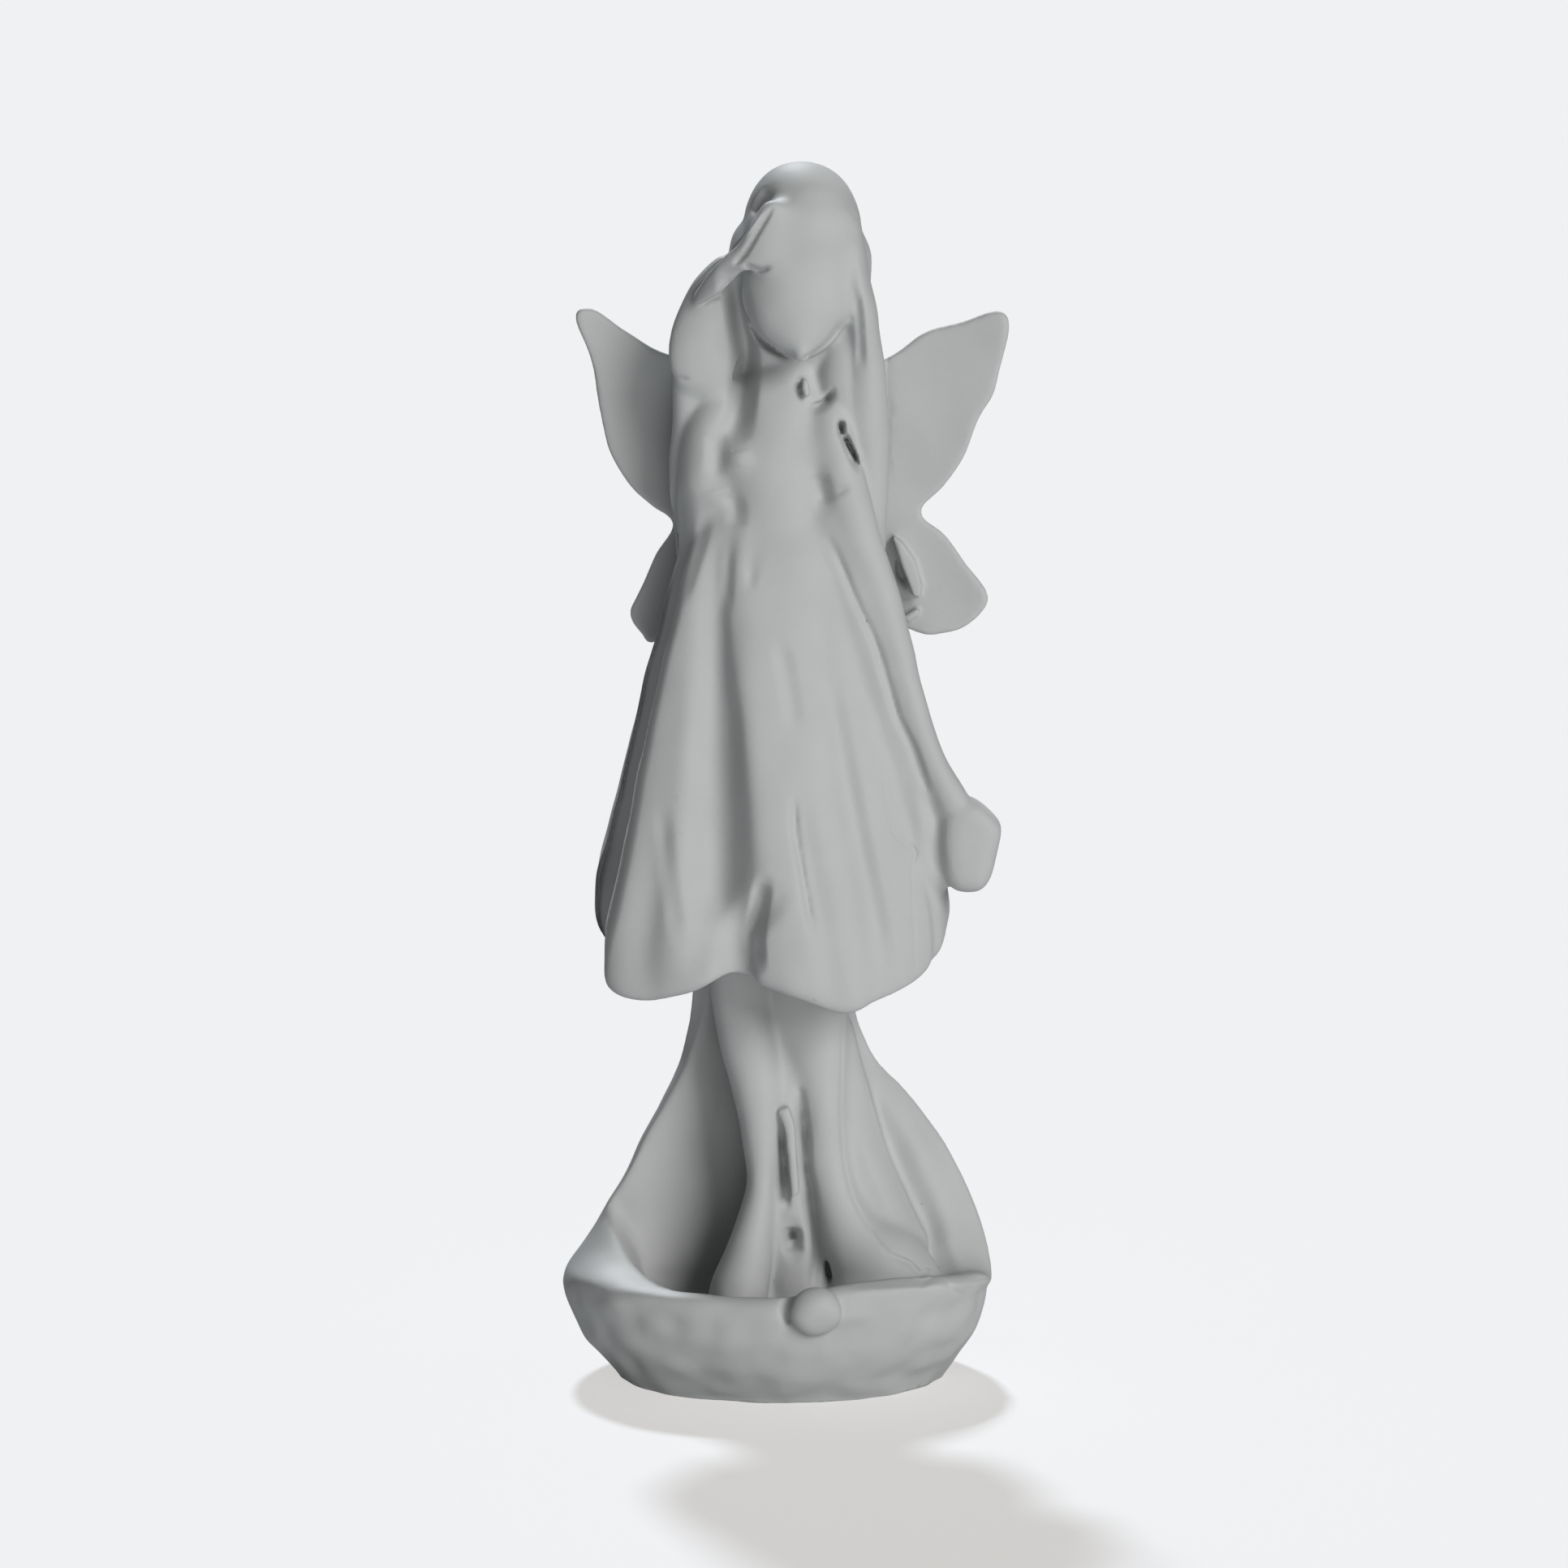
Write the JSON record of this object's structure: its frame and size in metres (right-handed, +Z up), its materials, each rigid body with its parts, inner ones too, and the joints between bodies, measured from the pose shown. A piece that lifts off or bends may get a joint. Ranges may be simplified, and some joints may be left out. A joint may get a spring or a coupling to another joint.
{
  "type": "cast fairy figurine",
  "caption": "Winged girl in a pleated dress, cast in one piece with the open petal dish she stands in.",
  "frame": {"origin": "Middle of the flat underside of the dish.", "axes": "+Z up out of the underside, +X to the viewer's right, and -Y towards a viewer of the figure's front."},
  "size_m": [0.0873, 0.0715, 0.2387],
  "materials": {
    "cast_resin": "matte pale grey, as cast, unpainted"
  },
  "bodies": {
    "root": {"fairy_figurine": "cast_resin"}
  },
  "joints": []
}
